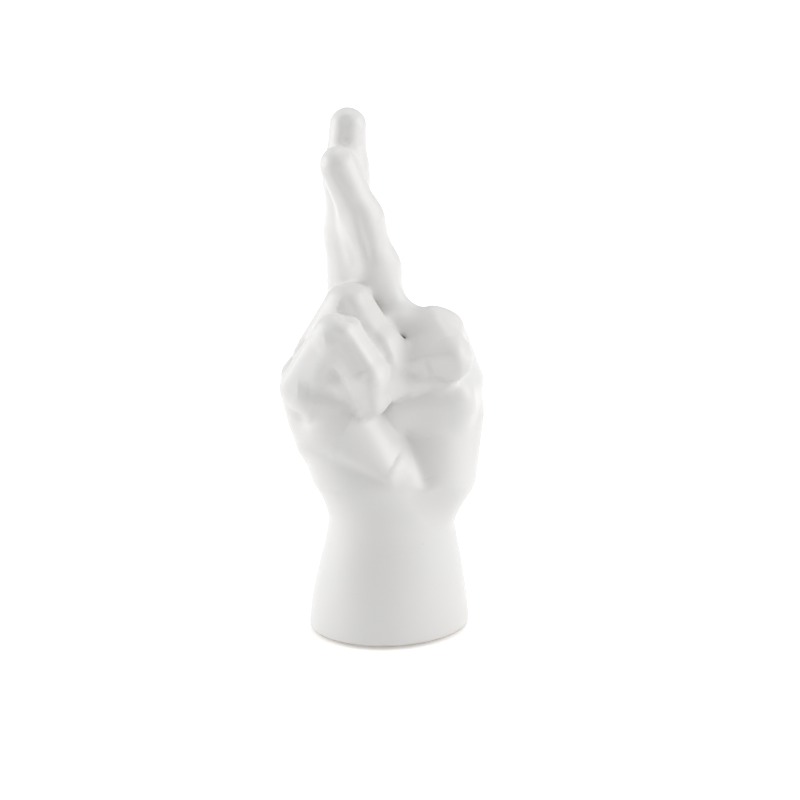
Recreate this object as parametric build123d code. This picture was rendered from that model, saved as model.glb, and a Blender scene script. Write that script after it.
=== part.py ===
"""Glazed ceramic hand sculpture: a right hand with crossed fingers, standing on its wrist.

The hand is slip-cast hollow. One casting makes the wrist and palm, open at the foot.
The thumb and the four fingers are castings of their own, luted onto the palm, and a
vent through the palm's wall joins each one's hollow to the palm's so that it can be fired.
A slab with a hole closes the foot, and felt dots keep the unglazed rim off the shelf.

Millimetres. +Z is up and -Y is the side that shows the little finger and the palm's heel.
The origin lies under the middle of the hand's box, on the plane that the felt dots stand on.
"""

import math
import os

from build123d import *

# Castings
palm_wall = 5.0
finger_wall = 3.2
finger_vent_radius = 3.0
finger_vent_share = 0.6
cut_overrun = 2.0

# Felt dots under the foot
felt_radius = 6.0
felt_thickness = 1.2
felt_count = 4
felt_ring_share = 0.70

# Foot, and the slab that is luted up into it against a ledge
foot_half_length = 39.6
foot_half_depth = 36.2
foot_edge_radius = 1.6
foot_set_aside = 1.0
slab_thickness = 5.0
slab_ledge = 1.6
slab_fit_gap = 0.2
slab_hole_radius = 5.0

# Wrist, narrowest at the neck
neck_height = 55.0
neck_half_length = 32.0
neck_half_depth = 27.0

# Palm, from the neck up to its rounded top
palm_height = 92.0
palm_half_length = 40.0
knuckle_heading = 42.0
knuckle_slope = 16.0

# Swellings of the palm: its heel, the ball, pad and post of the thumb, and the web between thumb and palm
heel_radius = 13.6
heel_top_radius = 16.6
thumb_ball_radius = 16.5
thumb_pad_radius = 16.0
thumb_pad_top_radius = 15.2
thumb_post_radius = 13.0
thumb_post_length = 44.0
web_radius = 11.0
web_top_radius = 9.5

# Finger bones, from the knuckle to the middle of the tip's pad
little_bones = (30.3, 27.0, 13.5)
ring_bones = (36.2, 34.1, 15.6)
middle_bones = (47.0, 29.0, 22.5)
index_bones = (39.6, 32.0, 24.5)
thumb_bones = (34.6, 16.4)

# Half width of each finger at its knuckle, its joints and its tip
little_radii = (10.0, 9.2, 8.2, 7.4)
ring_radii = (10.5, 9.6, 9.0, 7.8)
middle_radii = (10.5, 10.1, 9.7, 8.7)
index_radii = (10.6, 10.2, 9.3, 7.8)
thumb_radii = (13.0, 12.0, 10.8)

# How thick a bone starts beyond a joint and how far its sides draw in, as shares of the joint's radius
bone_start_share = 0.93
waist_share = 0.97

# Directions of the bones in degrees: tilt from upright, then heading from +X
little_turns = ((31, -27), (133, -27), (174, 150))
ring_turns = ((28, -34), (133, -32), (173, 146))
middle_turns = ((2, 135), (0, 0), (5, -60))
index_turns = ((22, -105), (25, -126), (29, -166))
thumb_turns = ((13.5, -152), (109, -112))
thumb_post_turn = (14, 2)

# Places as shares of palm_half_length along the palm and behind the wrist's axis, and of palm_height up it
little_knuckle_shares = (-0.86, 0.57, 0.71)
ring_knuckle_shares = (-0.47, 0.71, 0.78)
middle_knuckle_shares = (-0.02, 0.725, 0.92)
index_knuckle_shares = (0.48, 0.575, 0.86)
thumb_ball_shares = (0.49, -0.24, 0.12)
heel_low_shares = (-0.16, -0.22, 0.32)
heel_high_shares = (-0.585, 0.20, 0.55)
thumb_pad_low_shares = (0.41, -0.29, 0.19)
thumb_pad_high_shares = (0.51, -0.35, 0.60)
web_low_shares = (0.58, -0.14, 0.42)
web_high_shares = (0.34, 0.40, 0.66)

# Sections between the foot and the neck: height as a share of the way up, then the share of
# the foot's flare that is left there
flare_shares = ((0.14, 0.88), (0.38, 0.64), (0.70, 0.24))

# Sections of the palm: height share of palm_height, then shares of palm_half_length for
# its place along the palm and behind the wrist's axis and for its half length and half depth,
# then the share of knuckle_slope that it is tilted by
palm_section_shares = (
    (0.22, -0.02, 0.17, 0.86, 0.66, 0.1),
    (0.44, -0.05, 0.43, 0.95, 0.58, 0.3),
    (0.66, -0.12, 0.60, 0.99, 0.48, 0.6),
    (0.84, -0.17, 0.63, 0.96, 0.38, 0.8),
    (0.98, -0.16, 0.62, 0.82, 0.28, 0.9),
    (1.05, -0.15, 0.61, 0.60, 0.16, 0.9),
)

upright = Vector(0, 0, 1)


def direction(turn):
    """Unit vector for a tilt from upright and a heading."""
    tilt, heading = (math.radians(angle) for angle in turn)
    return Vector(math.sin(tilt) * math.cos(heading), math.sin(tilt) * math.sin(heading), math.cos(tilt))


along = direction((90, knuckle_heading))
behind = direction((90, knuckle_heading + 90))
foot_place = Vector(-foot_set_aside, 0, 0)


def palm_place(shares):
    """Point for shares along the palm, behind the wrist's axis and up from the neck."""
    side, back, rise = shares
    flat = along * (side * palm_half_length) + behind * (back * palm_half_length)
    return flat + upright * (neck_height + rise * palm_height)


def walk(start, bones, turns):
    """Joint centres from a start, one bone after another."""
    places = [start]
    for length, turn in zip(bones, turns):
        places.append(places[-1] + direction(turn) * length)
    return places


def oval(centre, across, normal, half_length, half_depth):
    """Elliptical face with its length along across."""
    return Plane(origin=centre, x_dir=across, z_dir=normal) * Ellipse(half_length, half_depth)


def bone_shape(start, finish, start_radius, finish_radius, waist=1.0):
    """Turned solid with a ball at each end and sides that draw in to a waist between them."""
    length = (finish - start).length
    lean = math.asin((start_radius - finish_radius) / length)
    low = polar_point(0, start_radius, lean)
    high = polar_point(length, finish_radius, lean)
    middle = ((low[0] + high[0]) / 2 * waist, (low[1] + high[1]) / 2)
    quarter = math.pi / 2
    outline = [
        ThreePointArc((0, -start_radius), polar_point(0, start_radius, (lean - quarter) / 2), low),
        ThreePointArc(low, middle, high) if waist < 1 else Line(low, high),
        ThreePointArc(high, polar_point(length, finish_radius, (lean + quarter) / 2), (0, length + finish_radius)),
        Line((0, length + finish_radius), (0, -start_radius)),
    ]
    profile = Plane.XZ * make_face(outline)
    return Plane(origin=start, z_dir=(finish - start).normalized()) * revolve(profile, Axis.Z)


def polar_point(level, radius, lean):
    """Point of a turned outline: a ball's radius at a lean above the ball's middle."""
    return radius * math.cos(lean), level + radius * math.sin(lean)


def finger_bones(places, radii, inset=0.0):
    """Bones laid end to end, each ending in the ball of its joint."""
    bones = []
    for number in range(len(places) - 1):
        near = radii[number] * bone_start_share - inset
        far = radii[number + 1] - inset
        bones.append(bone_shape(places[number], places[number + 1], near, far, waist_share))
    return bones


def fused(shapes):
    """One solid from shapes that overlap."""
    whole = shapes[0]
    for shape in shapes[1:]:
        whole = whole + shape
    return whole


def trimmed(shape, cutters):
    """Largest solid that is left of a shape once each cutter has been taken off it in turn."""
    for cutter in cutters:
        shape = shape - cutter
    return shape.solids().sort_by(SortBy.VOLUME)[-1]


def wrist_sections(inset):
    """Oval faces from the foot to the neck, drawn in by inset."""
    flare_length = foot_half_length - neck_half_length
    flare_depth = foot_half_depth - neck_half_depth
    levels = [(0.0, 1.0), *flare_shares, (1.0, 0.0)]
    return [
        oval(
            upright * (felt_thickness + share * (neck_height - felt_thickness)) + foot_place * left,
            along,
            upright,
            neck_half_length + left * flare_length - inset,
            neck_half_depth + left * flare_depth - inset,
        )
        for share, left in levels
    ]


def palm_sections(inset):
    """Oval faces from the neck to the palm's top, tilting as they rise, drawn in and down by inset."""
    sections = wrist_sections(inset)[-1:]
    for rise, side, back, length, depth, tilt in palm_section_shares:
        slope = math.radians(knuckle_slope * tilt)
        across = along * math.cos(slope) + upright * math.sin(slope)
        centre = palm_place((side, back, rise)) - upright * (inset * rise)
        half_length = length * palm_half_length - inset
        half_depth = depth * palm_half_length - inset
        sections.append(oval(centre, across, across.cross(behind), half_length, half_depth))
    return sections


def oval_plate(inset, low, high):
    """Upright oval plug that stays inside the foot's outline by inset."""
    face = oval(upright * low + foot_place, along, upright, foot_half_length - inset, foot_half_depth - inset)
    return extrude(face, high - low)


def vented(shape, start, towards, reach):
    """Shape with a round hole from start along a line."""
    line = Plane(origin=start, z_dir=(towards - start).normalized())
    return shape - line * Cylinder(finger_vent_radius, reach, align=(Align.CENTER, Align.CENTER, Align.MIN))


# Joint places
little_places = walk(palm_place(little_knuckle_shares), little_bones, little_turns)
ring_places = walk(palm_place(ring_knuckle_shares), ring_bones, ring_turns)
middle_places = walk(palm_place(middle_knuckle_shares), middle_bones, middle_turns)
index_places = walk(palm_place(index_knuckle_shares), index_bones, index_turns)
thumb_ball = palm_place(thumb_ball_shares)
thumb_knuckle = thumb_ball + direction(thumb_post_turn) * thumb_post_length
thumb_places = walk(thumb_knuckle, thumb_bones, thumb_turns)

# Fingers in the order that they are luted on: each is trimmed to the palm and to the ones before it
finger_plans = {
    "little_finger": (little_places, little_radii),
    "ring_finger": (ring_places, ring_radii),
    "index_finger": (index_places, index_radii),
    "middle_finger": (middle_places, middle_radii),
    "thumb": (thumb_places, thumb_radii),
}

# Swellings of the palm: the middles of both ends and their radii
swellings = (
    (palm_place(heel_low_shares), palm_place(heel_high_shares), heel_radius, heel_top_radius),
    (thumb_ball, thumb_knuckle, thumb_ball_radius, thumb_post_radius),
    (palm_place(thumb_pad_low_shares), palm_place(thumb_pad_high_shares), thumb_pad_radius, thumb_pad_top_radius),
    (palm_place(web_low_shares), palm_place(web_high_shares), web_radius, web_top_radius),
)

# Wrist and palm: the outside with its rounded foot, and the same shape drawn in as the cavity
wrist_outside = loft(wrist_sections(0))
wrist_outside = fillet(wrist_outside.edges().sort_by(Axis.Z)[0], foot_edge_radius)
palm_outside = wrist_outside + loft(palm_sections(0))
palm_inside = loft(wrist_sections(palm_wall)) + loft(palm_sections(palm_wall))
for low, high, low_radius, high_radius in swellings:
    palm_outside = palm_outside + bone_shape(low, high, low_radius, high_radius)
    palm_inside = palm_inside + bone_shape(low, high, low_radius - palm_wall, high_radius - palm_wall)

# The foot's rebate takes the slab, which stops against the ledge that is left inside
slab_top = felt_thickness + slab_thickness
slab_inset = palm_wall - slab_ledge
palm = palm_outside - palm_inside - oval_plate(slab_inset, felt_thickness - cut_overrun, slab_top)
slab = oval_plate(slab_inset + slab_fit_gap, felt_thickness, slab_top)
slab_hole = Cylinder(slab_hole_radius, slab_top * 2 + cut_overrun)
slab = slab - slab_hole.moved(Location(foot_place))

# Fingers: trimmed outside first, then hollowed, with a vent into the palm under each
cutters = [palm_outside]
nodes = {}
for name, (places, radii) in finger_plans.items():
    bones = finger_bones(places, radii)
    nodes[name] = trimmed(fused(bones), cutters) - fused(finger_bones(places, radii, finger_wall))
    cutters.extend(bones)
    palm = vented(palm, places[0], places[1], (places[1] - places[0]).length * finger_vent_share)
nodes["wrist_and_palm"] = palm
nodes["foot_slab"] = slab

# Felt dots in a ring on the slab
for number in range(felt_count):
    turn = math.radians(360) * (number + 0.5) / felt_count
    place = foot_place
    place = place + along * (math.cos(turn) * felt_ring_share * foot_half_length)
    place = place + behind * (math.sin(turn) * felt_ring_share * foot_half_depth)
    dot = Cylinder(felt_radius, felt_thickness, align=(Align.CENTER, Align.CENTER, Align.MIN))
    nodes[f"felt_dot_{number + 1}"] = dot.moved(Location(place))

# Put the middle of the hand's box over the origin and write one file for each node
box = Compound(children=[Solid(shape.solid().wrapped) for shape in nodes.values()]).bounding_box()
to_origin = Location((-box.center().X, -box.center().Y, -box.min.Z))
os.makedirs("parts", exist_ok=True)
for name, shape in nodes.items():
    solid = shape.solid().moved(to_origin)
    solid.label = name
    export_step(solid, f"parts/{name}.step")
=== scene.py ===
"""A glazed ceramic hand with crossed fingers, standing on its wrist, for Blender.

The hand is one signed distance: palm, wrist and fingers are rounded forms that blend into each
other, with grooves pressed into them and tendons and knuckles raised on the back. A lattice cuts
it into its six castings, so that neighbours share every point of their joint. Forms are in
millimetres from the wrist's axis, and meshes are written in metres in the frame's own coordinates.
"""

import math
import bmesh
import bpy
import numpy as np
from bpy.props import FloatProperty, FloatVectorProperty, PointerProperty
from bpy.types import Operator, Panel, PropertyGroup
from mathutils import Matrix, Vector


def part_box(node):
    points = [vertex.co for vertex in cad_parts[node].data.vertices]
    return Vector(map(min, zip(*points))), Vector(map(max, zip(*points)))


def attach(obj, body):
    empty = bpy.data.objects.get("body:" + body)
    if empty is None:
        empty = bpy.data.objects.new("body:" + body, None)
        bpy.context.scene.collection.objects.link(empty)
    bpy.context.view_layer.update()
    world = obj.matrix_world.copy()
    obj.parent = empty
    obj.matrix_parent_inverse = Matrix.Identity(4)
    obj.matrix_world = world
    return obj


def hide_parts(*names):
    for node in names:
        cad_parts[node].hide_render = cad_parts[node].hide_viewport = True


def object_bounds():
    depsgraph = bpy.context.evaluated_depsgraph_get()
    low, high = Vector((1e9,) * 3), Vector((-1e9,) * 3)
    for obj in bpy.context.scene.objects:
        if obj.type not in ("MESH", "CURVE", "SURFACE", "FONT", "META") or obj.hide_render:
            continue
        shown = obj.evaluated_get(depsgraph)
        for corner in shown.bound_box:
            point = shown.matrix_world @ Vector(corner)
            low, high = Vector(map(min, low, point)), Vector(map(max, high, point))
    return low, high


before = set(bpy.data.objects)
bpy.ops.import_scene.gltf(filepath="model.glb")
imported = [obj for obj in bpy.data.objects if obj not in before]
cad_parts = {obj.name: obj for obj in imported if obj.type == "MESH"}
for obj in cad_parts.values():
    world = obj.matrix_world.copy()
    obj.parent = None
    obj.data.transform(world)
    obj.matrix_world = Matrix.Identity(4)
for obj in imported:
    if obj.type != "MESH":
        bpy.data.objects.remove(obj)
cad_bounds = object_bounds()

bl_info = {
    "name": "Ceramic Hand",
    "version": (1, 0, 0),
    "blender": (4, 5, 0),
    "location": "3D View > Sidebar > Ceramic Hand",
    "description": "Shapes, glazes and lights a ceramic hand sculpture",
    "category": "Object",
}

MM = 0.001
UP = np.array([0.0, 0.0, 1.0])

# Castings in the order of their labels in the lattice, which has two more for air and the hollow
CASTINGS = ("wrist_and_palm", "little_finger", "ring_finger", "middle_finger", "index_finger", "thumb")
AIR = 0
HOLLOW = len(CASTINGS) + 1

# Label above all others, for points that belong to no casting
NO_CASTING = 99

# Corners of a cell of the lattice
CORNERS = [(dx, dy, dz) for dx in (0, 1) for dy in (0, 1) for dz in (0, 1)]

# Lattice in millimetres: spacing, margin round the hand, and the distance up to which a form is felt
LATTICE_SPACING = 0.97
LATTICE_MARGIN = 4.0
FORM_REACH = 14.0

# Steps along a coarse block, how many blocks off the surface may lie to be looked for, and how many
# points are worked out at a time
COARSE_STEPS = 4
NEAR_BLOCKS = 1.2
CHUNK = 300000

# Steps for slopes, normals and the bend of the skin, in millimetres
SLOPE_STEP = 0.05
NORMAL_STEP = 0.25
BEND_STEP = 1.1

# Share of the spacing that a settling point may move, least share of an edge on either side of the
# surface, and least spread between two surfaces that meet
SETTLE_SHARE = 0.75
LEAST_EDGE_SHARE = 0.05
LEAST_SPREAD = 0.05

# Rounds in which a line is drawn onto the skin, and the share of the way that each takes
SKIN_ROUNDS = 12
SKIN_PACE = 0.8

# Numbers that keep a division safe
TINY = 1e-9
LEAST_SLOPE = 1e-6

# Foot in millimetres: its lift off the floor, the rounding of its rim, how far its middle lies beside
# the wrist's axis, and the height and thickness of the wall that holds the slab
FOOT_LIFT = 1.2
FOOT_EDGE = 2.6
FOOT_SET_ASIDE = 1.0
SLAB_TOP = 6.2
SLAB_LEDGE_INSET = 3.4

# Heading of the palm's length in degrees
PALM_HEADING = 42.0

# Wrist and palm in millimetres: height, middle along the palm and behind the axis, half length,
# half depth, and how steeply the level rises along the palm
BODY_LEVELS = (
    (1.2, -0.7, 0.7, 39.6, 36.2, 0.0),
    (15.0, -0.7, 0.6, 38.4, 34.6, 0.0),
    (32.0, -0.4, 0.3, 35.6, 31.4, 0.0),
    (45.0, -0.1, 0.1, 33.0, 28.4, 0.0),
    (55.0, 0.0, 0.0, 31.8, 26.8, 0.0),
    (65.0, -1.5, 2.2, 31.3, 27.1, 0.02),
    (77.0, -4.3, 5.3, 33.1, 28.2, 0.05),
    (93.0, -4, 11, 36.1, 26.2, 0.12),
    (110.0, -3.4, 18.8, 40.9, 21.4, 0.18),
    (126.0, -5.1, 24.7, 39.6, 15.3, 0.24),
    (138.0, -7.6, 25, 37, 13, 0.27),
    (143.0, -5.7, 24.7, 32.5, 11.9, 0.28),
)

# Squareness of a level, height of the dome on top, and steps of the smooth curve through the levels
BODY_SQUARENESS = 2.05
BODY_DOME = 9.0
BODY_STEPS = 200

# Fingers in the order of their castings: joints from knuckle to tip, then at each joint the half
# width and the depths on the back and pad sides, the heading of the hinges in degrees, the
# squareness and the blend between bones
FINGERS = {
    "little_finger": (
        ((-38, -10.6, 120.4), (-24.3, -22.8, 147.2), (-10.9, -24.8, 127.9), (-8.2, -21.9, 119.2)),
        ((13.4, 12.1, 10.5), (10.4, 10.7, 8), (8.9, 9.2, 8.2), (9.4, 7.2, 6.3)),
        55, 3.2, 3.0,
    ),
    "ring_finger": (
        ((-32.8, 8, 130.7), (-19.7, -2.5, 156.8), (-1.9, -12.9, 137.6), (-0.3, -13.6, 122.9)),
        ((11.7, 12.5, 9.7), (10.3, 11.2, 7.8), (10.6, 5.8, 7.6), (8.8, 6.7, 7.2)),
        55, 2.8, 3.0,
    ),
    "middle_finger": (
        ((-21.5, 17.9, 138.8), (-20.4, 23.5, 187.5), (-21.3, 18.7, 216), (-20.6, 21.3, 238.2)),
        ((8.8, 8.8, 11.6), (11.3, 8.8, 15.1), (10.8, 8.3, 8.2), (8.9, 7.4, 8.9)),
        44, 2.15, 6.0,
    ),
    "index_finger": (
        ((1.5, 31, 135.6), (-6.4, 13, 171.5), (-12.8, 6, 196.7), (-24.5, 2.5, 222.3)),
        ((9.2, 9.2, 8.8), (10.4, 10.9, 8.8), (8.9, 9.8, 7.5), (9.3, 7, 8.6)),
        47, 2.3, 6.0,
    ),
}

# Limbs of palm and thumb and fills of the fingers, in millimetres: both ends, the direction across,
# at each end the half width and the depths on the back and pad sides, the squareness across and the
# squareness of the ends
LIMBS = {
    "thumb_ball": (
        (17.6, 0.2, 72), (21.3, 4.3, 106), (0.98, 0.17, 0),
        (19.2, 16.3, 17.7), (13.9, 15.5, 14), 2.1, 2.0,
    ),
    "thumb_post": (
        (25.9, 9.8, 75), (31.6, 10.7, 103.4), (0.74, 0.67, 0),
        (14.5, 17.9, 14.5), (13, 13.9, 11.7), 2.2, 2.0,
    ),
    "thumb_web": (
        (20.3, 12.8, 93.6), (0.4, 21.8, 128.6), (-0.67, 0.74, 0),
        (11.9, 11.7, 12), (10.4, 10.2, 10.6), 2.0, 2.0,
    ),
    "palm_heel": (
        (1.6, -11.7, 84.6), (-21.7, -8.1, 97.5), (0.62, -0.4, 0.68),
        (8.4, 14.7, 19.4), (24.1, 15.8, 22), 2.0, 2.0,
    ),
    "palm_middle": (
        (3, -4, 107), (27, -2, 111), (0, 0, 1),
        (12, 9.5, 10), (13, 10, 10), 2.0, 2.0,
    ),
    "little_side": (
        (-28, -15.5, 133.5), (-21, -20.2, 123.5), (0.45, 0.89, 0),
        (8, 8, 8), (8, 8, 8), 2.0, 2.0,
    ),
    "index_fill": (
        (1, 14, 150), (-5, 11, 166), (1, 0, 0),
        (9, 9, 9), (8, 8, 8), 2.0, 2.0,
    ),
    "little_fill": (
        (-32.4, -16.9, 121.3), (-13.8, -20.7, 115.7), (0.45, 0.89, 0),
        (9.3, 11.1, 16.2), (8, 7, 7.2), 3.4, 2.0,
    ),
    "ring_fill": (
        (-18.1, -2.2, 140), (9.7, -5.7, 124.8), (0.54, 0.84, 0),
        (8.8, 10.3, 10.3), (9.2, 3.6, 9.3), 3.0, 2.0,
    ),
    "thumb_base": (
        (33.1, 11, 117.2), (23, 4.6, 143), (0.8, -0.61, 0),
        (9.8, 11.7, 13.7), (10.9, 11.8, 14), 2.3, 2.0,
    ),
    "thumb_tip": (
        (19, 2.9, 143.2), (23.3, -7.1, 134.4), (0.81, -0.58, 0),
        (11.1, 10.3, 10.3), (14.1, 11.8, 9.3), 3.2, 3.0,
    ),
    "thumb_inside": (
        (20.6, 7.1, 146.2), (2.8, 11.5, 147.4), (0, 0, 1),
        (7.6, 8.8, 13.5), (8.4, 7.9, 13), 2.0, 2.0,
    ),
}

# Limbs that fill out each finger, and those that make the thumb
FINGER_FILLS = {
    "little_finger": ("little_fill", "little_side"),
    "ring_finger": ("ring_fill",),
    "middle_finger": (),
    "index_finger": ("index_fill",),
}
THUMB_LIMBS = ("thumb_base", "thumb_tip", "thumb_inside")

# A limb is looked for up to this many times its largest size from its ends, and FORM_REACH more
LIMB_SPREAD = 1.25

# Flat facets: the way they face, how far they lie that way from the foot of the wrist's axis, and
# their rounding
FACETS = {
    "palm_heel": (((0.09, -0.98, -0.17), 19.3, 4.0), ((-0.4, -0.57, -0.72), -39.5, 3.0)),
    "thumb_tip": (((-0.24, -0.85, -0.47), -52.3, 2.0),),
}

# Lines pressed into the front: places, height (below 0 for a groove) and half width
FRONT_LINES = {
    "dip_along_little_finger": (
        (
            (-30.5, -34.3, 147.8), (-25.1, -35.4, 149), (-20.6, -34.2, 145), (-15.2, -33.2, 136.4),
            (-11.5, -33.6, 129),
        ),
        -2, 3.7,
    ),
    "fold_under_little_finger": (
        (
            (-42.3, -21.6, 122.4), (-36.7, -24.7, 122.1), (-32.1, -25, 121.3), (-25.7, -24.4, 119.2),
            (-20.1, -24.3, 117.3), (-16.5, -24.2, 113.5), (-12.8, -23.5, 109.5),
        ),
        -2.3, 4.5,
    ),
    "dip_at_ring_knuckle": (
        ((-25.2, -14, 160.2), (-21.5, -16, 158.8), (-18.5, -28.8, 156.8)),
        -2.3, 3.2,
    ),
    "groove_along_ring_finger": (
        ((-14.1, -18.5, 153.5), (-7.7, -19.6, 147.1), (-4, -21.8, 142.9), (-0.3, -23.5, 134.7)),
        -1.1, 2.3,
    ),
    "crease_under_thumb": (
        (
            (10.7, -16.2, 133.9), (15.3, -17.2, 134.2), (17.2, -15.2, 128.9), (18.1, -13.9, 125.7),
            (25.6, -13.5, 123.7), (32.1, -13.6, 124.7),
        ),
        -1, 1.6,
    ),
    "valley_beside_heel": (
        ((3.9, -3.9, 102.6), (9.5, -11.8, 92), (14.2, -16.2, 82.5), (17.9, -19.3, 72.7)),
        -1.8, 5,
    ),
    "groove_along_index_finger": (
        (
            (-26.7, -6.4, 224.5), (-21.3, -6.7, 214.3), (-14.9, -7, 203.2), (-9.9, -1.3, 186.7),
            (-8.1, 2.3, 175.1),
        ),
        -0.9, 2.1,
    ),
    "dip_below_middle_tip": (
        ((-22.3, 13.1, 244.9), (-21.4, 10.9, 238.7), (-21, 11.2, 231.2)),
        -1.1, 2,
    ),
    "ridge_along_middle_finger": (
        ((-24.7, -1.1, 206.5), (-21.8, 8.5, 190.8), (-17.2, 8.5, 173.6)),
        0.6, 2.8,
    ),
}

# A mark is felt up to this many half widths away, and this sets how short its fading ends are
MARK_REACH = 3
MARK_FADE = 8

# Widths of the blends: limbs into the palm, each later casting into the hand, and fills into a finger
PALM_BLENDS = {"thumb_ball": 8.0, "thumb_post": 8.0, "thumb_web": 7.0, "palm_middle": 6.0, "palm_heel": 2.5}
CASTING_BLENDS = (2.2, 2.2, 6.0, 5.0, 6.0)
FILL_BLEND = 3.0

# Back of the hand: four tendons and three knuckles by their places along the palm, behind the axis
# and above the floor, with height and half width
BACK_LINES = (
    (((-5, 28, 60), (-14, 36, 90), (-22, 37, 112)), 0.7, 3.0),
    (((-2, 29, 60), (-7, 38, 92), (-11, 40, 118)), 0.9, 3.0),
    (((2, 29, 60), (3, 38, 92), (3, 41, 124)), 0.9, 3.0),
    (((6, 28, 60), (13, 37, 92), (17, 38, 122)), 0.8, 3.0),
    (((-17, 38, 126), (-19, 38, 133), (-20, 36, 139)), 1.0, 6.0),
    (((1, 41, 130), (0, 41, 138), (-1, 38, 145)), 1.1, 6.0),
    (((18, 38, 128), (20, 38, 136), (20, 34, 143)), 1.1, 6.0),
)

# The finger whose back shows, and the wrinkles across it: bone, share along it, height, half width
UPRIGHT_FINGER = "middle_finger"
WRINKLES = (
    (1, -0.07, -0.4, 1.1),
    (1, 0.02, -0.5, 1.1),
    (2, -0.03, -0.35, 1.0),
)
WRINKLE_SIDES = (-0.65, -0.35, 0.0, 0.35, 0.65)

# Its nail: bone, sizes in millimetres, and the outline as shares of half the width and of the length
NAIL_BONE = 2
NAIL_WIDTH = 9.0
NAIL_LENGTH = 10.5
NAIL_TIP = 4.0
NAIL_DEPTH = 0.45
NAIL_GROOVE = 1.0
NAIL_OUTLINE_SHARES = (
    (-1, 0), (-1, 0.6), (-0.8, 0.88), (-0.4, 1), (0, 1.03), (0.4, 1), (0.8, 0.88), (1, 0.6), (1, 0),
)

# Finishes in metres: pinholes in the glaze, waver and softness of its lower edge, grain of the clay
# and of the felt
PINHOLE_DEPTH = 0.00012
GLAZE_EDGE_WAVER = 0.0007
GLAZE_EDGE_SOFTNESS = 0.00025
CLAY_GRAIN_DEPTH = 0.00015
FELT_GRAIN_DEPTH = 0.0002

# Felt dots in millimetres: how much smaller in radius and thinner than their place, and their rounding,
# then the sides of a disc, and the sizes in metres, seed, sides and lean in radians of the fibres
FELT_INSET = 0.2
FELT_THINNING = 0.1
FELT_ROUNDING = 0.25
FELT_SIDES = 48
FIBRE_SIZES = (("Fibre length", 1.3 * MM), ("Fibre radius", 0.035 * MM), ("Fibres per area", 3.0e6))
FIBRE_SEED = 4
FIBRE_SIDES = 3
FIBRE_LEAN = (1.5, 1.5, 3.1)

# Studio in metres: half the side of the floor, how strongly it glows near the hand, the distances
# from its middle between which that grows to 1, the lamps, and the film's width in millimetres
WHITE = (1.0, 1.0, 1.0, 1.0)
FLOOR_COLOUR = (0.9, 0.9, 0.9, 1.0)
FLOOR_HALF = 8
FLOOR_GLOW = 0.45
FLOOR_NEAR = 0.3
FLOOR_FAR = 1.2
LAMP_SIZE = 0.7
LAMP_PLACES = {"key": (1.05, -0.03, 0.5), "side": (-1.05, 0.12, 0.45), "top": (0.1, 0.2, 1.2)}
SENSOR_WIDTH = 36.0


# Rounded forms


def unit(v):
    v = np.asarray(v, float)
    return v / np.linalg.norm(v)


def direction(tilt, heading):
    """Unit vector for a tilt from upright and a heading, both in degrees."""
    t, h = math.radians(tilt), math.radians(heading)
    return np.array([math.sin(t) * math.cos(h), math.sin(t) * math.sin(h), math.cos(t)])


def smooth_min(a, b, blend):
    """Lesser of two distances, rounded where they are nearly equal."""
    if blend == 0:
        return np.minimum(a, b)
    overlap = np.maximum(blend - np.abs(a - b), 0) / blend
    return np.minimum(a, b) - overlap * overlap * (blend / 4)


def spline(places, values, wanted):
    """Smooth curve through values at rising places, which never overshoots them."""
    steps = np.diff(places)
    slopes = np.diff(values) / steps
    tangents = np.zeros_like(values)
    tangents[0], tangents[-1] = slopes[0], slopes[-1]
    for i in range(1, len(values) - 1):
        if slopes[i - 1] * slopes[i] > 0:
            before = 2 * steps[i] + steps[i - 1]
            after = steps[i] + 2 * steps[i - 1]
            tangents[i] = (before + after) / (before / slopes[i - 1] + after / slopes[i])
    k = np.clip(np.searchsorted(places, wanted) - 1, 0, len(steps) - 1)
    t = (wanted - places[k]) / steps[k]
    start = (1 + 2 * t) * (1 - t) ** 2 * values[k] + t * (1 - t) ** 2 * steps[k] * tangents[k]
    end = t * t * (3 - 2 * t) * values[k + 1] + t * t * (t - 1) * steps[k] * tangents[k + 1]
    return start + end


def oval_distance(x, y, z, half, power, cap_power=2.0):
    """Rough distance to a rounded box-like oval: squarish across x and y, and along z by cap_power."""
    x, y, z = np.abs(x) / half[0], np.abs(y) / half[1], np.abs(z) / half[2]
    flat = (x ** power + y ** power) ** (1 / power) + TINY
    radius = (flat ** cap_power + z ** cap_power) ** (1 / cap_power) + TINY
    outward = (flat / radius) ** (cap_power - 1)
    slope_x = (x / flat) ** (power - 1) / half[0] * outward
    slope_y = (y / flat) ** (power - 1) / half[1] * outward
    slope_z = (z / radius) ** (cap_power - 1) / half[2]
    return (radius - 1) / (np.sqrt(slope_x ** 2 + slope_y ** 2 + slope_z ** 2) + LEAST_SLOPE)


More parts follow.
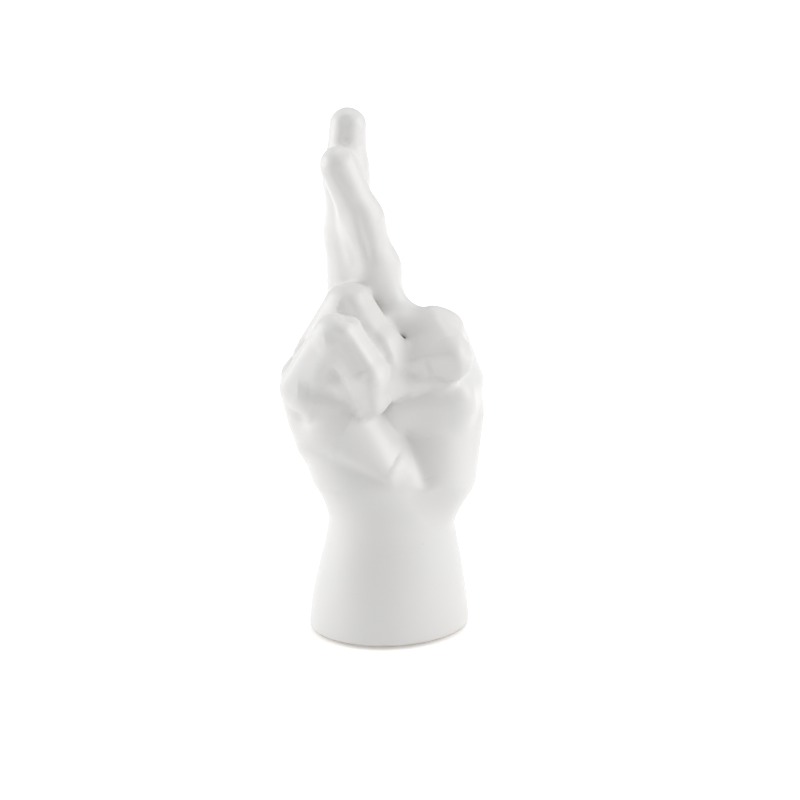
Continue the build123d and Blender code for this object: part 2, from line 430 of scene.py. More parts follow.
class Limb:
    """Rounded bar from start to end, with a half width and depths on the back and pad sides at each."""

    def __init__(self, start, end, across, start_sizes, end_sizes, power, cap_power=2.0):
        self.start, self.end = np.asarray(start, float), np.asarray(end, float)
        self.length = np.linalg.norm(self.end - self.start)
        self.axis = unit(self.end - self.start)
        across = np.asarray(across, float)
        self.across = unit(across - self.axis * (across @ self.axis))
        self.pad = np.cross(self.across, self.axis)
        self.start_sizes, self.end_sizes = np.asarray(start_sizes, float), np.asarray(end_sizes, float)
        self.power, self.cap_power = power, cap_power
        self.reach = max(self.start_sizes.max(), self.end_sizes.max()) * LIMB_SPREAD + FORM_REACH

    def near(self, p):
        low = np.minimum(self.start, self.end) - self.reach
        high = np.maximum(self.start, self.end) + self.reach
        return ((p > low) & (p < high)).all(1)

    def distance(self, p):
        q = p - self.start
        rise = q @ self.axis
        share = np.clip(rise / self.length, 0, 1)
        beyond = rise - share * self.length
        width, back, pad = (a + (b - a) * share for a, b in zip(self.start_sizes, self.end_sizes))
        side = q @ self.pad
        depth = np.where(side > 0, pad, back)
        cap = np.where(beyond < 0, self.start_sizes[0], self.end_sizes[0])
        return oval_distance(q @ self.across, side, beyond, (width, depth, cap), self.power, self.cap_power)


class Body:
    """Wrist and palm through levelled ovals, closed above by a dome."""

    def __init__(self, levels, along, behind, dome, power):
        rows = np.array(levels, float)
        self.along, self.behind, self.dome, self.power = along, behind, dome, power
        self.heights = np.linspace(rows[0, 0], rows[-1, 0], BODY_STEPS)
        self.columns = [spline(rows[:, 0], rows[:, i], self.heights) for i in range(1, rows.shape[1])]

    def near(self, p):
        return np.ones(len(p), bool)

    def distance(self, p):
        a, b = p @ self.along, p @ self.behind
        level = p[:, 2] - a * np.interp(p[:, 2], self.heights, self.columns[4])
        inside = np.clip(level, self.heights[0], self.heights[-1])
        side, back, length, depth = (np.interp(inside, self.heights, column) for column in self.columns[:4])
        over = np.maximum(level - self.heights[-1], 0)
        return oval_distance(a - side, b - back, over, (length, depth, self.dome), self.power)


class Cut:
    """Form cut by flat facets."""

    def __init__(self, form, facets):
        self.form = form
        self.facets = [(unit(facing), away, rounding) for facing, away, rounding in facets]

    def near(self, p):
        return self.form.near(p)

    def distance(self, p):
        value = self.form.distance(p)
        for facing, away, rounding in self.facets:
            value = -smooth_min(-value, away - p @ facing, rounding)
        return value


class Blend:
    """Forms joined in turn, each with the width of its blend."""

    def __init__(self, *members):
        self.members = members

    def distance(self, p):
        total = None
        for form, blend in self.members:
            found = np.full(len(p), FORM_REACH)
            near = form.near(p)
            if near.any():
                found[near] = np.minimum(form.distance(p[near]), FORM_REACH)
            total = found if total is None else smooth_min(total, found, blend)
        return total


class Mark:
    """Groove (or, with a height above 0, ridge) along a line of places, fading out at both ends."""

    def __init__(self, places, height, width):
        self.places = [np.asarray(place, float) for place in places]
        self.height, self.width = height, width

    def near(self, p):
        low = np.min(self.places, 0) - MARK_REACH * self.width
        high = np.max(self.places, 0) + MARK_REACH * self.width
        return ((p > low) & (p < high)).all(1)

    def change(self, p):
        nearest = np.full(len(p), np.inf)
        place_along = np.zeros(len(p))
        travelled = 0.0
        for a, b in zip(self.places, self.places[1:]):
            span = b - a
            length = np.linalg.norm(span)
            t = np.clip((p - a) @ span / length ** 2, 0, 1)
            apart = np.linalg.norm(p - a - t[:, None] * span, axis=1)
            closer = apart < nearest
            nearest[closer] = apart[closer]
            place_along[closer] = (travelled + t * length)[closer]
            travelled += length
        share = place_along / travelled
        fade = np.clip(MARK_FADE * share * (1 - share), 0, 1)
        return -self.height * fade * np.exp(-(nearest / self.width) ** 2)


def wrist_axis_place():
    """Where the wrist's axis stands in the frame, in millimetres."""
    low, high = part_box("foot_slab")
    middle = (np.array(low) + np.array(high)) / 2 / MM
    return np.array([middle[0] + FOOT_SET_ASIDE, middle[1], 0.0])


class HandForm:
    """The whole hand as a distance in millimetres, and each casting's own share of it."""

    def __init__(self, sizes):
        self.along = direction(90, PALM_HEADING)
        self.behind = direction(90, PALM_HEADING + 90)
        self.wall = sizes.palm_wall / MM
        self.girth = sizes.finger_girth
        self.forms = [self.palm_form(), *self.finger_forms()]
        # The marks of the back are drawn onto the skin as it is before any mark
        self.marks = []
        self.marks = [*self.front_marks(), *self.back_marks()]
        shift = wrist_axis_place()
        self.low = np.array(cad_bounds[0]) / MM - shift
        self.high = np.array(cad_bounds[1]) / MM - shift
        self.low[2] = FOOT_LIFT

    def limb(self, name):
        """One named limb, with its facets."""
        made = Limb(*LIMBS[name])
        return Cut(made, FACETS[name]) if name in FACETS else made

    def palm_form(self):
        """Wrist and palm with the ball, post and web of the thumb, and the palm's middle and heel."""
        body = Body(BODY_LEVELS, self.along, self.behind, BODY_DOME, BODY_SQUARENESS)
        return Blend((body, 0), *((self.limb(name), blend) for name, blend in PALM_BLENDS.items()))

    def bones(self, name):
        """Bones of one finger, as members of a blend."""
        joints, sizes, heading, power, blend = FINGERS[name]
        across = direction(90, heading)
        sizes = np.array(sizes) * self.girth
        return [
            (Limb(joints[i], joints[i + 1], across, sizes[i], sizes[i + 1], power), blend)
            for i in range(len(joints) - 1)
        ]

    def fills(self, names):
        """Limbs that fill out a finger or make the thumb, as members of a blend."""
        return [(self.limb(name), FILL_BLEND) for name in names]

    def finger_forms(self):
        """Little, ring, middle and index finger and thumb."""
        fingers = [Blend(*self.bones(name), *self.fills(FINGER_FILLS[name])) for name in FINGERS]
        return [*fingers, Blend(*self.fills(THUMB_LIMBS))]

    def on_skin(self, places):
        """The places moved onto the skin."""
        p = np.array(places, float)
        for _ in range(SKIN_ROUNDS):
            here, slope = slopes(self.outside, p)
            p = p - slope * (here / ((slope * slope).sum(1) + TINY))[:, None] * SKIN_PACE
        return p

    def front_marks(self):
        """Grooves and ridges that the front shows."""
        return [Mark(places, height, width) for places, height, width in FRONT_LINES.values()]

    def back_marks(self):
        """Tendons and knuckles of the back, and the upright finger's wrinkles and nail."""
        found = []
        for line, height, width in BACK_LINES:
            places = [self.along * a + self.behind * b + UP * z for a, b, z in line]
            found.append(Mark(self.on_skin(places), height, width))
        found.extend(self.wrinkle(*values) for values in WRINKLES)
        found.append(self.nail())
        return found

    def back_frame(self, bone):
        """Both ends, direction across, direction of the back and end sizes of an upright bone."""
        joints, sizes, heading = FINGERS[UPRIGHT_FINGER][:3]
        start, end = np.array(joints[bone]), np.array(joints[bone + 1])
        axis = unit(end - start)
        across = direction(90, heading)
        across = unit(across - axis * (across @ axis))
        return start, end, across, -np.cross(across, axis), np.array(sizes[bone + 1])

    def wrinkle(self, bone, share, height, width):
        """Wrinkle across the back of a bone."""
        start, end, across, back, sizes = self.back_frame(bone)
        middle = start + (end - start) * share
        line = [
            middle + across * (side * sizes[0]) + back * (sizes[1] * (1 - side * side))
            for side in WRINKLE_SIDES
        ]
        return Mark(self.on_skin(line), height, width)

    def nail(self):
        """Groove round the nail."""
        start, end, across, back, sizes = self.back_frame(NAIL_BONE)
        axis = unit(end - start)
        line = [
            end + across * (side * NAIL_WIDTH / 2) - axis * (down * NAIL_LENGTH - NAIL_TIP) + back * sizes[1]
            for side, down in NAIL_OUTLINE_SHARES
        ]
        return Mark(self.on_skin(line), -NAIL_DEPTH, NAIL_GROOVE)

    def columns(self, p):
        """Distance to each casting's own form, one row for each casting."""
        return np.array([np.minimum(form.distance(p), FORM_REACH) for form in self.forms])

    def whole(self, columns, p):
        """Distance to the whole hand, cut level at the foot."""
        total = columns[0]
        for column, blend in zip(columns[1:], CASTING_BLENDS):
            total = smooth_min(total, column, blend)
        for mark in self.marks:
            near = mark.near(p)
            if near.any():
                total = total.copy()
                total[near] += mark.change(p[near])
        return -smooth_min(-total, p[:, 2] - FOOT_LIFT, FOOT_EDGE)

    def hollow(self, columns, p):
        """Distance to the hollow of the wrist and palm, with the ledge that the foot slab meets."""
        inset = np.where(p[:, 2] < SLAB_TOP, SLAB_LEDGE_INSET, self.wall)
        return columns[0] + inset

    def outside(self, p):
        return self.whole(self.columns(p), p)


# Lattice and skin


def without(layer, axis):
    """Index that leaves out the first or the last layer along an axis."""
    index = [slice(None)] * 3
    index[axis] = slice(1, None) if layer == "first" else slice(None, -1)
    return tuple(index)


class Lattice:
    """Labelled points round the hand: air, each casting or the hollow, found where the surface is near."""

    def __init__(self, form, low, high, spacing):
        self.form, self.spacing = form, spacing
        block = spacing * COARSE_STEPS
        self.low = np.asarray(low, float) - LATTICE_MARGIN
        blocks = np.ceil((np.asarray(high) + LATTICE_MARGIN - self.low) / block).astype(int)
        self.counts = blocks * COARSE_STEPS + 1
        self.used = self.near_surface(blocks, block)
        self.points = self.low + np.argwhere(self.used) * spacing
        self.fill()

    def near_surface(self, blocks, block):
        """Mask of the points in blocks that the hand's inside or surface may reach."""
        axes = [self.low[i] + block * np.arange(blocks[i] + 1) for i in range(3)]
        corners = np.stack(np.meshgrid(*axes, indexing="ij"), -1).reshape(-1, 3)
        distance = self.form.outside(corners).reshape(blocks + 1)
        least = distance
        for axis in range(3):
            least = np.minimum(least[without("first", axis)], least[without("last", axis)])
        near = least < block * NEAR_BLOCKS
        for axis in range(3):
            near = np.repeat(near, COARSE_STEPS, axis)
        nx, ny, nz = near.shape
        mask = np.zeros(self.counts, bool)
        for dx, dy, dz in CORNERS:
            mask[dx:dx + nx, dy:dy + ny, dz:dz + nz] |= near
        return mask

    def fill(self):
        """Distances at the used points, and the label of every point."""
        columns, whole, hollow = [], [], []
        for start in range(0, len(self.points), CHUNK):
            p = self.points[start:start + CHUNK]
            found = self.form.columns(p)
            columns.append(found.astype(np.float32))
            whole.append(self.form.whole(found, p).astype(np.float32))
            hollow.append(self.form.hollow(found, p).astype(np.float32))
        self.columns = np.concatenate(columns, 1)
        self.whole = np.concatenate(whole)
        self.hollow = np.concatenate(hollow)
        label = 1 + np.argmin(self.columns, 0)
        label[(label == 1) & (self.hollow < 0)] = HOLLOW
        label[self.whole > 0] = AIR
        self.labels = np.full(self.counts, AIR, np.uint8)
        self.labels[self.used] = label
        self.rows = np.full(self.counts, -1, np.int32)
        self.rows[self.used] = np.arange(len(self.points))

    def crossing_shares(self, rows_a, rows_b, labels_a, labels_b):
        """How far along each edge its two labels change over."""
        piece_a = np.clip(labels_a.astype(int), 1, len(CASTINGS)) - 1
        piece_b = np.clip(labels_b.astype(int), 1, len(CASTINGS)) - 1
        value_a = self.columns[piece_a, rows_a] - self.columns[piece_b, rows_a]
        value_b = self.columns[piece_a, rows_b] - self.columns[piece_b, rows_b]
        hollow = (labels_a == HOLLOW) | (labels_b == HOLLOW)
        value_a[hollow], value_b[hollow] = self.hollow[rows_a[hollow]], self.hollow[rows_b[hollow]]
        air = (labels_a == AIR) | (labels_b == AIR)
        value_a[air], value_b[air] = self.whole[rows_a[air]], self.whole[rows_b[air]]
        change = value_a - value_b
        safe = np.where(np.abs(change) < TINY, TINY, change)
        return np.clip(value_a / safe, LEAST_EDGE_SHARE, 1 - LEAST_EDGE_SHARE)

    def surfaces(self):
        """Quads between unlike labels, the labels on both sides of each, and a middle point for each cell."""
        cells = self.counts - 1
        total = int(np.prod(cells))
        sums = np.zeros((4, total))
        quads, sides = [], []
        for axis in range(3):
            b, c = (axis + 1) % 3, (axis + 2) % 3
            at = np.argwhere(self.labels[without("last", axis)] != self.labels[without("first", axis)])
            step = np.zeros(3, int)
            step[axis] = 1
            first, second = tuple(at.T), tuple((at + step).T)
            share = self.crossing_shares(
                self.rows[first], self.rows[second], self.labels[first], self.labels[second]
            )
            crossing = self.low + (at + step * share[:, None]) * self.spacing
            ring = []
            for back_b, back_c in ((1, 1), (0, 1), (0, 0), (1, 0)):
                cell = at.copy()
                cell[:, b] -= back_b
                cell[:, c] -= back_c
                flat = (cell[:, 0] * cells[1] + cell[:, 1]) * cells[2] + cell[:, 2]
                ring.append(flat)
                for i in range(3):
                    sums[i] += np.bincount(flat, crossing[:, i], total)
                sums[3] += np.bincount(flat, minlength=total)
            quads.append(np.stack(ring, 1))
            sides.append(np.stack([self.labels[first], self.labels[second]], 1))
        quads, sides = np.concatenate(quads), np.concatenate(sides)
        used, quads = np.unique(quads, return_inverse=True)
        places = (sums[:3, used] / sums[3, used]).T
        return places, quads.reshape(-1, 4), sides, self.cell_labels(used)

    def cell_labels(self, used):
        """Labels at the eight corners of the cells with these flat numbers."""
        cells = self.counts - 1
        x, rest = np.divmod(used, cells[1] * cells[2])
        y, z = np.divmod(rest, cells[2])
        return np.stack([self.labels[x + dx, y + dy, z + dz] for dx, dy, dz in CORNERS], 1)


def slopes(values, p):
    """Value and gradient of each of several fields at once, by small steps along the axes."""
    here = values(p)
    steps = np.eye(3) * SLOPE_STEP
    ahead = np.stack([values(p + step) for step in steps], -1)
    return here, (ahead - here[..., None]) / SLOPE_STEP


def settle(form, places, corners, spacing):
    """Move each point onto the surface that its cell straddles, and onto the joint where castings meet.

    The answer says which points lie on the skin.
    """
    limit = spacing * SETTLE_SHARE
    start = places.copy()
    air = (corners == AIR).any(1)
    hollow = (corners == HOLLOW).any(1) & ~air
    solid = (corners != AIR) & (corners != HOLLOW)
    least = np.where(solid, corners, NO_CASTING).min(1).astype(int) - 1
    most = np.where(solid, corners, 0).max(1).astype(int) - 1
    either = (corners == (least + 1)[:, None]) | (corners == (most + 1)[:, None])
    two = (either | ~solid).all(1) & (most > least)

    def in_hollow(p):
        return form.hollow(form.columns(p), p)

    def move(chosen, values, rounds):
        for _ in range(rounds):
            p = places[chosen]
            here, slope = slopes(values, p)
            step = slope * (here / ((slope * slope).sum(-1) + TINY))[:, None]
            places[chosen] = bounded(p - step, start[chosen], limit)

    def move_to_joint(chosen, rounds):
        rows = np.arange(len(chosen))
        first, second = least[chosen], most[chosen]

        def both(p):
            columns = form.columns(p)
            return np.stack([form.whole(columns, p), columns[first, rows] - columns[second, rows]])

        for _ in range(rounds):
            p = places[chosen]
            (skin, joint), (n, g) = slopes(both, p)
            nn, gg, ng = (n * n).sum(1), (g * g).sum(1), (n * g).sum(1)
            spread = np.maximum(nn * gg - ng * ng, LEAST_SPREAD)
            a = (gg * skin - ng * joint) / spread
            b = (nn * joint - ng * skin) / spread
            places[chosen] = bounded(p - a[:, None] * n - b[:, None] * g, start[chosen], limit)

    skin_only = np.nonzero(air & ~two)[0]
    joints = np.nonzero(air & two)[0]
    move(skin_only, form.outside, rounds=3)
    move_to_joint(joints, rounds=3)
    move(joints, form.outside, rounds=1)
    move(np.nonzero(hollow)[0], in_hollow, rounds=2)
    return air


def bounded(p, start, limit):
    """Points no further than limit from where they started."""
    moved = p - start
    length = np.linalg.norm(moved, axis=1)
    return start + moved * np.minimum(1, limit / (length + TINY))[:, None]


def skin_normals(form, p):
    """Outward direction at points of the skin, and how hollowed the skin is there, per millimetre."""
    normals = np.zeros_like(p)
    bend = np.zeros(len(p))
    here = form.outside(p)
    for axis in range(3):
        step = np.zeros(3)
        step[axis] = NORMAL_STEP
        normals[:, axis] = form.outside(p + step) - form.outside(p - step)
        step[axis] = BEND_STEP
        bend += (form.outside(p + step) + form.outside(p - step) - 2 * here) / BEND_STEP ** 2
    normals /= np.linalg.norm(normals, axis=1)[:, None] + TINY
    return normals, -bend


class Skin:
    """Shared points of all castings, with what each casting's mesh takes from them."""

    def __init__(self, form, spacing):
        lattice = Lattice(form, form.low, form.high, spacing)
        self.places, self.quads, self.sides, corners = lattice.surfaces()
        chosen = np.nonzero(settle(form, self.places, corners, spacing))[0]
        self.normals = np.zeros_like(self.places)
        self.pooling = np.zeros(len(self.places))
        self.normals[chosen], self.pooling[chosen] = skin_normals(form, self.places[chosen])

    def casting(self, label):
        """Points, quads, pooling and a normal for each corner of one casting.

        Faces inside the hand get no normals of their own.
        """
        keep = self.sides[:, 0] == label
        flip = self.sides[:, 1] == label
        quads = np.concatenate([self.quads[keep], self.quads[flip][:, ::-1]])
        others = np.concatenate([self.sides[keep, 1], self.sides[flip, 0]])
        used, quads = np.unique(quads, return_inverse=True)
        quads = quads.reshape(-1, 4)
        corner_normals = np.where((others == AIR)[:, None, None], self.normals[used][quads], 0.0)
        return self.places[used], quads, self.pooling[used], corner_normals.reshape(-1, 3)


# Materials


class Nodes:
    """A material's node tree, with short calls for its nodes and links."""

    def __init__(self, name):
        self.material = bpy.data.materials.new(name)
        self.material.use_nodes = True
        self.tree = self.material.node_tree
        self.tree.nodes.clear()
        self.output = self.tree.nodes.new("ShaderNodeOutputMaterial")
        self.object_place = self.add("ShaderNodeTexCoord").outputs["Object"]

    def add(self, kind, inputs=None, **settings):
        """Node of a kind with settings, and with inputs that are values or other nodes' sockets."""
        node = self.tree.nodes.new(kind)
        for key, value in settings.items():
            setattr(node, key, value)
        for key, value in (inputs or {}).items():
            if isinstance(value, bpy.types.NodeSocket):
                self.tree.links.new(value, node.inputs[key])
            else:
                node.inputs[key].default_value = value
        return node

    def noise(self, scale, detail=2.0, roughness=0.5):
        """Clouds of a scale, from 0 to 1."""
        inputs = {"Vector": self.object_place, "Scale": scale, "Detail": detail, "Roughness": roughness}
        return self.add("ShaderNodeTexNoise", inputs).outputs["Fac"]

    def ramp(self, value, low, high, start=0.0, end=1.0):
        """Value between low and high, spread from start to end."""
        inputs = {"Value": value, "From Min": low, "From Max": high, "To Min": start, "To Max": end}
        return self.add("ShaderNodeMapRange", inputs).outputs["Result"]

    def maths(self, operation, a, b):
        return self.add("ShaderNodeMath", {0: a, 1: b}, operation=operation).outputs["Value"]

    def mix(self, factor, a, b):
        """Colour a to colour b by factor. The node's colour sockets come after its other kinds."""
        node = self.add("ShaderNodeMix", {"Factor": factor}, data_type="RGBA")
        for socket, value in ((node.inputs[6], a), (node.inputs[7], b)):
            if isinstance(value, bpy.types.NodeSocket):
                self.tree.links.new(value, socket)
            else:
                socket.default_value = tuple(value) + (1.0,) * (4 - len(value))
        return node.outputs[2]

    def height(self):
        """How high a place lies above the floor, in metres."""
        return self.add("ShaderNodeSeparateXYZ", {"Vector": self.object_place}).outputs["Z"]

    def bump(self, height, depth, after=None):
        """Normal bent by a height from 0 to 1 that is worth a depth in metres, after another normal."""
        inputs = {"Height": height, "Distance": depth, "Strength": 1.0}
        if after is not None:
            inputs["Normal"] = after
        return self.add("ShaderNodeBump", inputs).outputs["Normal"]

    def join(self, kind, first, second, **inputs):
        """Two shaders mixed or added by a node of a kind."""
        node = self.add(kind, inputs)
        shaders = [socket for socket in node.inputs if socket.type == "SHADER"]
        self.tree.links.new(first, shaders[0])
        self.tree.links.new(second, shaders[1])
        return node.outputs["Shader"]

    def finish(self, shader):
        self.tree.links.new(shader, self.output.inputs["Surface"])
        return self.material


def scaled(colour, factor):
    """Colour made darker or paler, up to pure white."""
    return [min(1.0, part * factor) for part in colour]


def glaze_material(look):
    """Satin white glaze: pooled glaze with painted shade darkening the hollows, pinholed, bare in a ring at
    the foot.
    """
    n = Nodes("satin_glaze")
    # Colour: slow flow and fine clouds, thin on edges, and darker in hollows from pooled glaze and painted
    # shade
    pooling = n.add("ShaderNodeAttribute", attribute_name="pooling").outputs["Fac"]
    flow = n.noise(38.0, 3.0)
    cloud = n.noise(150.0, 4.0, 0.6)
    in_hollows = n.ramp(n.maths("ADD", pooling, n.ramp(flow, 0.3, 0.7, -0.08, 0.08)), 0.05, 0.9)
    on_edges = n.ramp(pooling, -0.25, -0.75)
    colour = n.mix(n.ramp(flow, 0.35, 0.65, 0.0, 0.5), look.glaze_colour, look.thin_colour)
    colour = n.mix(n.ramp(cloud, 0.3, 0.7, 0.0, 0.35), colour, look.glaze_colour)
    colour = n.mix(n.maths("MULTIPLY", on_edges, 0.5), colour, look.thin_colour)
    # Hollows take the darker pooled colour: partly pooled glaze, partly painted shade
    colour = n.mix(n.maths("MULTIPLY", in_hollows, look.pooling_and_shade_strength), colour, look.pooled_glaze_and_shade_colour)
    # Pinholes here and there, which show the clay
    cells = n.add("ShaderNodeTexVoronoi", {"Vector": n.object_place, "Scale": 210.0}).outputs["Distance"]
    chosen = n.ramp(n.noise(95.0, 1.0), 0.58, 0.62)
    pinhole = n.maths("MULTIPLY", n.ramp(cells, 0.085, 0.03), chosen)
    colour = n.mix(n.maths("MULTIPLY", pinhole, 0.55), colour, look.clay_colour)
    # Surface: waves, ripples, then the pinholes, and patches with more or less sheen
    waves = n.noise(210.0, 2.0)
    ripples = n.noise(760.0, 2.0, 0.6)
    skin = n.bump(waves, look.waviness * 0.5)
    skin = n.bump(ripples, look.waviness * 0.12, skin)
    skin = n.bump(n.maths("SUBTRACT", 1.0, pinhole), PINHOLE_DEPTH, skin)
    patches = n.noise(60.0, 4.0, 0.6)
    glaze = n.add("ShaderNodeBsdfPrincipled", {
        "Base Color": colour,
        "Roughness": n.ramp(patches, 0.3, 0.7, look.roughness - 0.05, look.roughness + 0.06),
        "IOR": 1.5,
        "Coat Weight": 0.25,
        "Coat Roughness": 0.22,
        "Normal": skin,
    })
    # Bare clay up to a wavering line above the foot
    waver = n.ramp(n.noise(120.0, 3.0), 0.0, 1.0, -GLAZE_EDGE_WAVER, GLAZE_EDGE_WAVER)
    top, bottom = look.bare_height + GLAZE_EDGE_SOFTNESS, look.bare_height - GLAZE_EDGE_SOFTNESS
    bare = n.ramp(n.maths("ADD", n.height(), waver), top, bottom)
    return n.finish(n.join("ShaderNodeMixShader", glaze.outputs["BSDF"], clay_shader(n, look), Fac=bare))


def clay_shader(n, look):
    """Fired clay without glaze: matt and sandy."""
    grain = n.noise(900.0, 4.0, 0.7)
    cloud = n.noise(80.0, 3.0)
    colour = n.mix(n.ramp(cloud, 0.3, 0.7, 0.0, 0.6), look.clay_colour, scaled(look.clay_colour, 0.86))
    colour = n.mix(n.ramp(grain, 0.35, 0.6, 0.0, 0.4), colour, scaled(look.clay_colour, 1.1))
    inputs = {"Base Color": colour, "Roughness": 0.92, "Normal": n.bump(grain, CLAY_GRAIN_DEPTH)}
    return n.add("ShaderNodeBsdfPrincipled", inputs).outputs["BSDF"]


def clay_material(look):
    """Bare clay of the foot slab."""
    n = Nodes("bare_clay")
    return n.finish(clay_shader(n, look))


def felt_material(look):
    """Pressed wool felt: fibres of slightly different greys."""
    n = Nodes("wool_felt")
    fibre = n.noise(1800.0, 3.0, 0.7)
    patch = n.noise(260.0, 2.0)
    colour = n.mix(n.ramp(fibre, 0.3, 0.7), look.felt_colour, scaled(look.felt_colour, 1.5))
    colour = n.mix(n.ramp(patch, 0.4, 0.6, 0.0, 0.4), colour, scaled(look.felt_colour, 0.7))
    inputs = {
        "Base Color": colour,
        "Roughness": 0.95,
        "Sheen Weight": 0.4,
        "Normal": n.bump(fibre, FELT_GRAIN_DEPTH),
    }
    return n.finish(n.add("ShaderNodeBsdfPrincipled", inputs).outputs["BSDF"])


# Settings that a user can change


def length(name, description, default):
    """Length whose default is in millimetres."""
    return FloatProperty(name=name, description=description, default=default * MM, min=0.0, unit="LENGTH")


def place(name, description, default):
    """Place whose default is in millimetres."""
    values = [value * MM for value in default]
    return FloatVectorProperty(name=name, description=description, default=values, size=3, unit="LENGTH")


def colour(name, description, default):
    return FloatVectorProperty(
        name=name, description=description, default=default, size=3, min=0.0, max=1.0, subtype="COLOR"
    )


def factor(name, description, default, least=0.0, most=1.0):
    return FloatProperty(name=name, description=description, default=default, min=least, max=most)


def power(name, description, default):
    return FloatProperty(name=name, description=description, default=default, min=0.0, unit="POWER")


class CastingSizes(PropertyGroup):
    """Sizes of the cast hand."""

    palm_wall: length("Palm wall", "Thickness of the wrist and palm's wall", 5.0)
    finger_girth: factor("Finger girth", "Thickness of the fingers as a share of theirs", 1.0, 0.5, 1.5)


class GlazeLook(PropertyGroup):
    """Colours and finish of glaze, bare clay and felt."""

    glaze_colour: colour("Glaze", "Colour of the glaze", (0.86, 0.855, 0.845))
    thin_colour: colour("Thin glaze", "Colour where the glaze runs thin over the clay", (0.88, 0.862, 0.832))
    # Darker colour of the hollows: pooled glaze with painted shade
    pooled_glaze_and_shade_colour: colour("Pooled glaze", "Colour where the glaze pools in hollows", (0.74, 0.73, 0.71))
    clay_colour: colour("Clay", "Colour of the bare clay", (0.72, 0.66, 0.57))
    felt_colour: colour("Felt", "Colour of the felt dots", (0.16, 0.155, 0.15))
    # How far the hollows darken: pooled glaze with painted shade
    pooling_and_shade_strength: factor("Pooling", "How much colour the glaze takes in hollows", 0.6)
    roughness: factor("Roughness", "Roughness of the glaze", 0.42)
    waviness: length("Waviness", "Depth of the glaze's waves", 0.05)
    bare_height: length("Bare height", "Height up to which the foot is left bare", 2.3)


class StudioLight(PropertyGroup):
    """Camera and lamps."""

    target: place("Target", "Where the camera looks, from the foot of the wrist's axis", (4.1, 0.0, 111.5))
    distance: length("Distance", "From the camera to its target", 1200.0)
    elevation: FloatProperty(
        name="Elevation", description="Camera above the horizon", default=math.radians(14), unit="ROTATION"
    )
    lens: FloatProperty(name="Lens", description="Focal length in millimetres", default=114.48, min=1.0)
    surround: FloatProperty(name="Surround", description="Strength of the even light", default=0.55, min=0.0)
    key_power: power("Key lamp", "Lamp on the right", 4.2)
    side_power: power("Side lamp", "Lamp on the left", 4.8)
    top_power: power("Top lamp", "Lamp overhead", 2.0)


# Pieces


def mesh_piece(name, places, faces, material):
    """Object at the origin with a smooth mesh in the frame's metres."""
    mesh = bpy.data.meshes.new(name)
    faces = np.asarray(faces)
    mesh.vertices.add(len(places))
    mesh.vertices.foreach_set("co", np.asarray(places, np.float32).ravel())
    corners = faces.shape[1]
    mesh.loops.add(faces.size)
    mesh.loops.foreach_set("vertex_index", faces.ravel().astype(np.int32))
    mesh.polygons.add(len(faces))
    mesh.polygons.foreach_set("loop_start", np.arange(0, faces.size, corners, dtype=np.int32))
    mesh.polygons.foreach_set("loop_total", np.full(len(faces), corners, np.int32))
    mesh.update(calc_edges=True)
    mesh.shade_smooth()
    mesh.materials.append(material)
    piece = bpy.data.objects.new(name, mesh)
    bpy.context.collection.objects.link(piece)
    return piece


def declare(piece, node):
    """The piece takes the place of a node, whose own part is hidden, and moves with the body."""
    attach(piece, "root")
    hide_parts(node)


def casting_piece(skin, label, name, material):
    """Closed mesh of one casting, shaded by the skin's own directions."""
    places, quads, pooling, corner_normals = skin.casting(label)
    piece = mesh_piece(f"{name}_casting", (places + wrist_axis_place()) * MM, quads, material)
    values = piece.data.attributes.new("pooling", "FLOAT", "POINT")
    values.data.foreach_set("value", pooling.astype(np.float32))
    piece.data.normals_split_custom_set(corner_normals.tolist())
    return piece


def felt_dot_tree(material):
    """Node tree that grows short fibres from a felt dot."""
    tree = bpy.data.node_groups.new("felt_fibres", "GeometryNodeTree")
    tree.interface.new_socket("Geometry", in_out="INPUT", socket_type="NodeSocketGeometry")
    tree.interface.new_socket("Geometry", in_out="OUTPUT", socket_type="NodeSocketGeometry")
    for label, default in FIBRE_SIZES:
        socket = tree.interface.new_socket(label, in_out="INPUT", socket_type="NodeSocketFloat")
        socket.default_value = default
    seed = tree.interface.new_socket("Seed", in_out="INPUT", socket_type="NodeSocketInt")
    seed.default_value = FIBRE_SEED

    def add(kind, **settings):
        node = tree.nodes.new(kind)
        for key, value in settings.items():
            setattr(node, key, value)
        return node

    def link(a, b):
        tree.links.new(a, b)

    given, result = add("NodeGroupInput"), add("NodeGroupOutput")
    scatter = add("GeometryNodeDistributePointsOnFaces")
    link(given.outputs["Geometry"], scatter.inputs["Mesh"])
    link(given.outputs["Fibres per area"], scatter.inputs["Density"])
    link(given.outputs["Seed"], scatter.inputs["Seed"])
    fibre = add("GeometryNodeMeshCone", fill_type="NGON")
    fibre.inputs["Vertices"].default_value = FIBRE_SIDES
    fibre.inputs["Radius Top"].default_value = 0.0
    link(given.outputs["Fibre radius"], fibre.inputs["Radius Bottom"])
    link(given.outputs["Fibre length"], fibre.inputs["Depth"])
    lean = add("FunctionNodeRandomValue", data_type="FLOAT_VECTOR")
    lean.inputs["Min"].default_value = [-angle for angle in FIBRE_LEAN]
    lean.inputs["Max"].default_value = FIBRE_LEAN
    link(given.outputs["Seed"], lean.inputs["Seed"])
    grow = add("GeometryNodeInstanceOnPoints")
    link(scatter.outputs["Points"], grow.inputs["Points"])
    link(fibre.outputs["Mesh"], grow.inputs["Instance"])
    link(lean.outputs["Value"], grow.inputs["Rotation"])
    join = add("GeometryNodeJoinGeometry")
    link(given.outputs["Geometry"], join.inputs["Geometry"])
    link(grow.outputs["Instances"], join.inputs["Geometry"])
    realize = add("GeometryNodeRealizeInstances")
    link(join.outputs["Geometry"], realize.inputs["Geometry"])
    finish = add("GeometryNodeSetMaterial")
    finish.inputs["Material"].default_value = material
    link(realize.outputs["Geometry"], finish.inputs["Geometry"])
    link(finish.outputs["Geometry"], result.inputs["Geometry"])
    return tree


